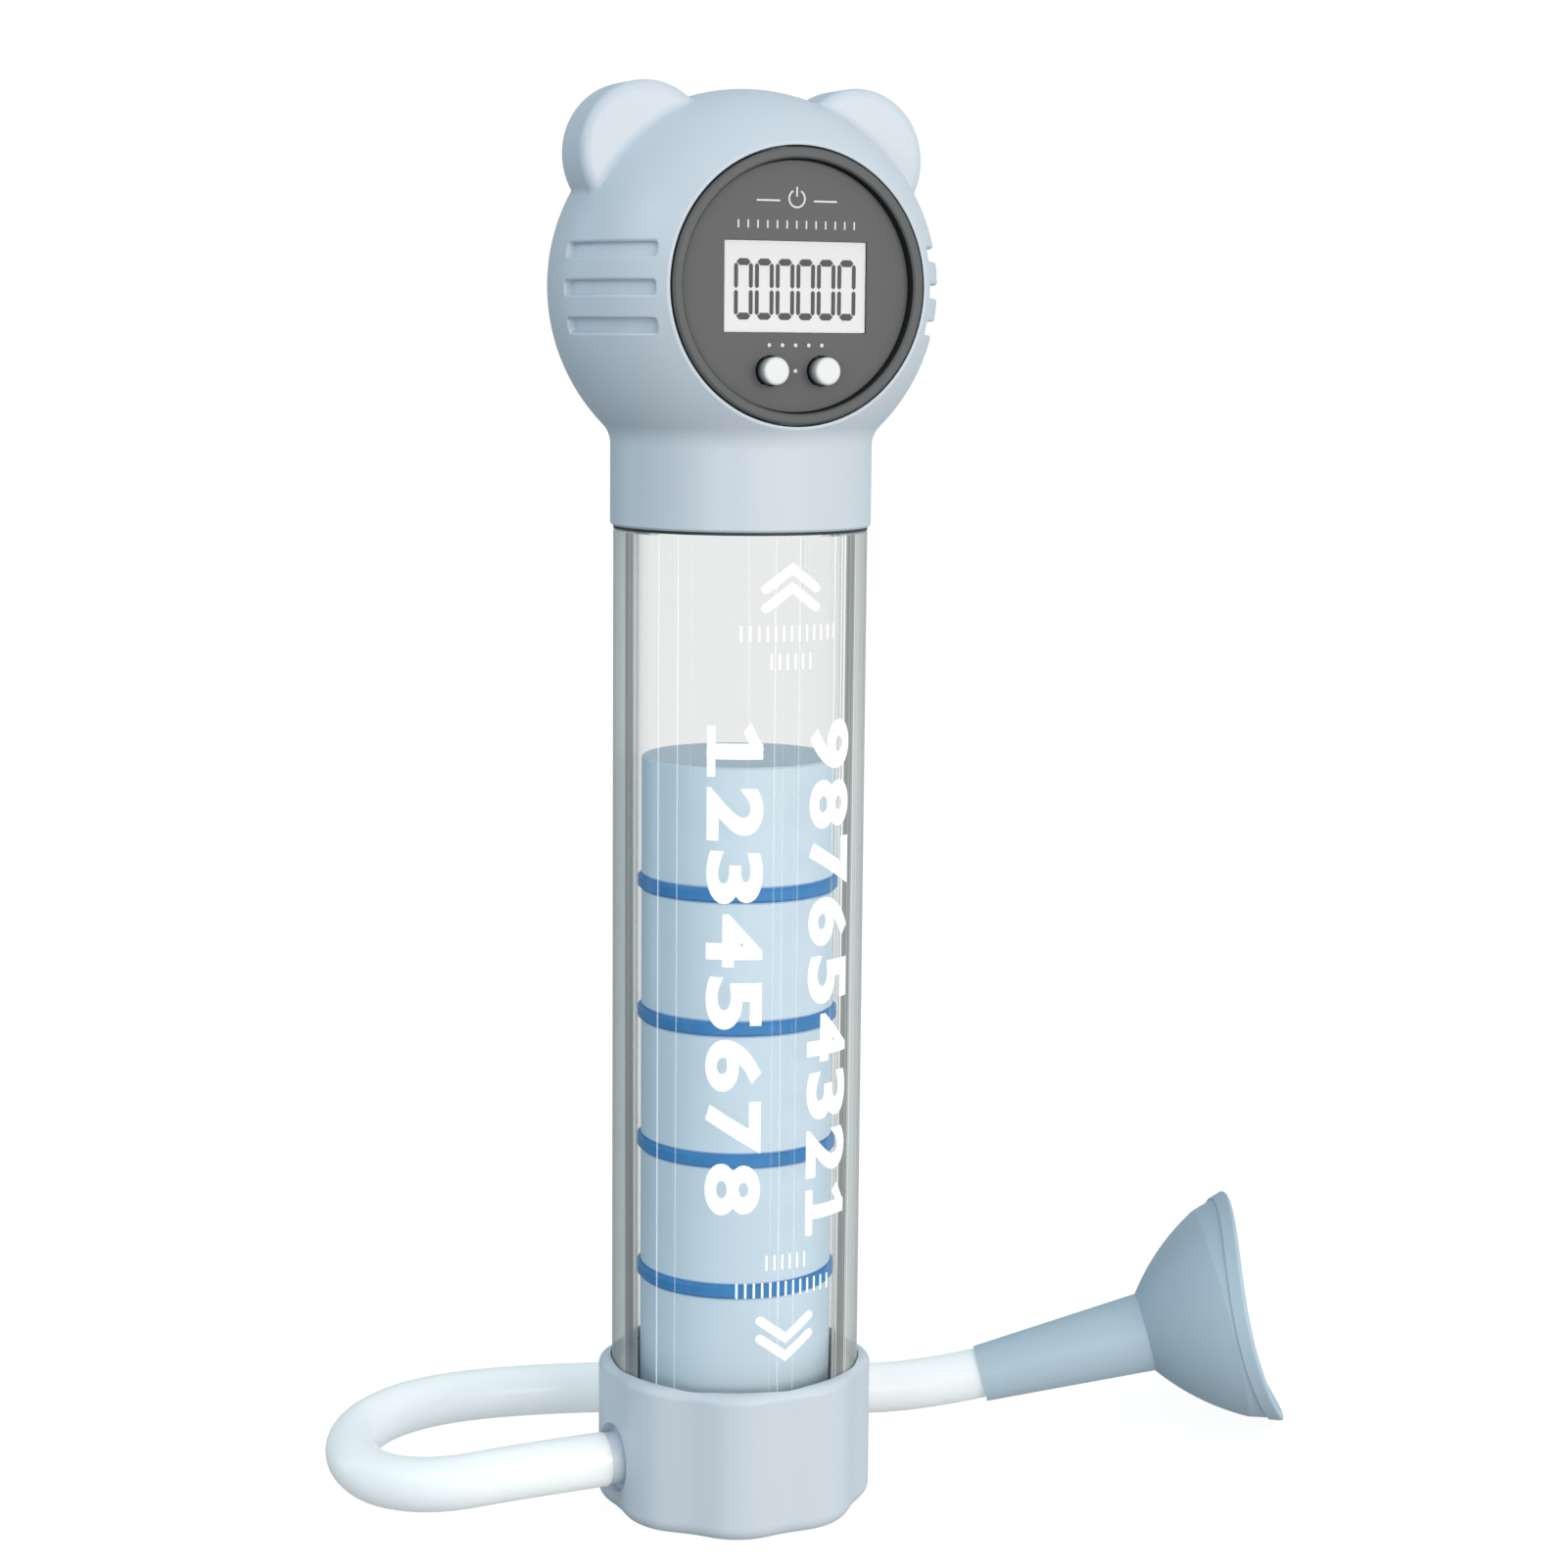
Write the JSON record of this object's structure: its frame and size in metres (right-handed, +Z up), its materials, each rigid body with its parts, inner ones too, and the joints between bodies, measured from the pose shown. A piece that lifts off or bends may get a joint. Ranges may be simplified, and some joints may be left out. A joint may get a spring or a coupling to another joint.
{
  "type": "breathing trainer",
  "caption": "Clear upright tube with a stack of weights that the breath lifts, a lobed base, a round eared head with a stroke counter, and a mouth cup on a soft hose.",
  "frame": {"origin": "centre of the base's flat underside, on the tube's axis", "axes": "+Z up along the tube; the counter faces -Y; the air inlet points to -X"},
  "size_m": [0.2019, 0.0931, 0.2721],
  "materials": {
    "shell_blue": "satin moulded light blue plastic",
    "cup_silicone": "soft light blue silicone, satin",
    "seat_plastic": "plain moulded plastic",
    "black_rubber": "black rubber",
    "hose_silicone": "milky translucent silicone",
    "clear_tube": "clear acrylic, polished",
    "weight_blue": "satin light blue plastic",
    "ring_blue": "blue rubber",
    "steel": "plain steel",
    "counter_dark": "dark grey satin plastic",
    "display_glass": "pale grey reflective display",
    "board_green": "green circuit board",
    "switch_black": "black",
    "button_white": "white gloss plastic",
    "reed_glass": "glass with metal leads",
    "wire_red": "red insulated wire"
  },
  "bodies": {
    "base": {"base_cup": "shell_blue", "air_seat": "seat_plastic", "landing_pad": "black_rubber", "air_hose": "hose_silicone", "mouth_cup": "cup_silicone"},
    "tube": {"clear_tube": "clear_tube", "base_seal": "black_rubber", "neck_gasket": "black_rubber", "upper_seal": "black_rubber", "head_shell": "shell_blue", "rear_cover": "shell_blue", "cover_screws": "steel", "piston_stop": "seat_plastic", "top_bumper": "black_rubber", "reed_switch": "reed_glass", "sensor_wires": "wire_red", "bezel": "counter_dark", "face_panel": "counter_dark", "lcd_glass": "display_glass", "zebra_strips": "switch_black", "counter_board": "board_green", "tact_switches": "switch_black", "battery_cell": "steel", "battery_clip": "steel", "counter_back": "counter_dark", "counter_screws": "steel"},
    "piston": {"weight_1": "weight_blue", "weight_2": "weight_blue", "weight_3": "weight_blue", "weight_4": "weight_blue", "weight_5": "weight_blue", "core_1": "steel", "core_2": "steel", "core_3": "steel", "core_4": "steel", "core_5": "steel", "seal_ring_1": "ring_blue", "seal_ring_2": "ring_blue", "seal_ring_3": "ring_blue", "seal_ring_4": "ring_blue", "trip_magnet": "steel", "end_plug": "seat_plastic"},
    "button_left": {"button_left": "button_white"},
    "button_right": {"button_right": "button_white"}
  },
  "joints": [
    {"name": "tube_twist", "type": "hinge", "parent": "base", "child": "tube", "pos_m": [0, 0, 0.0235], "axis": [0, 0, 1], "range_deg": [0, 40]},
    {"name": "piston_lift", "type": "slide", "parent": "tube", "child": "piston", "axis": [0, 0, 1], "range_m": [0, 0.0533]},
    {"name": "button_left_press", "type": "slide", "parent": "tube", "child": "button_left", "axis": [0, 1, 0], "range_m": [0, 0.0005], "stiffness_N_per_m": 400},
    {"name": "button_right_press", "type": "slide", "parent": "tube", "child": "button_right", "axis": [0, 1, 0], "range_m": [0, 0.0005], "stiffness_N_per_m": 400}
  ]
}
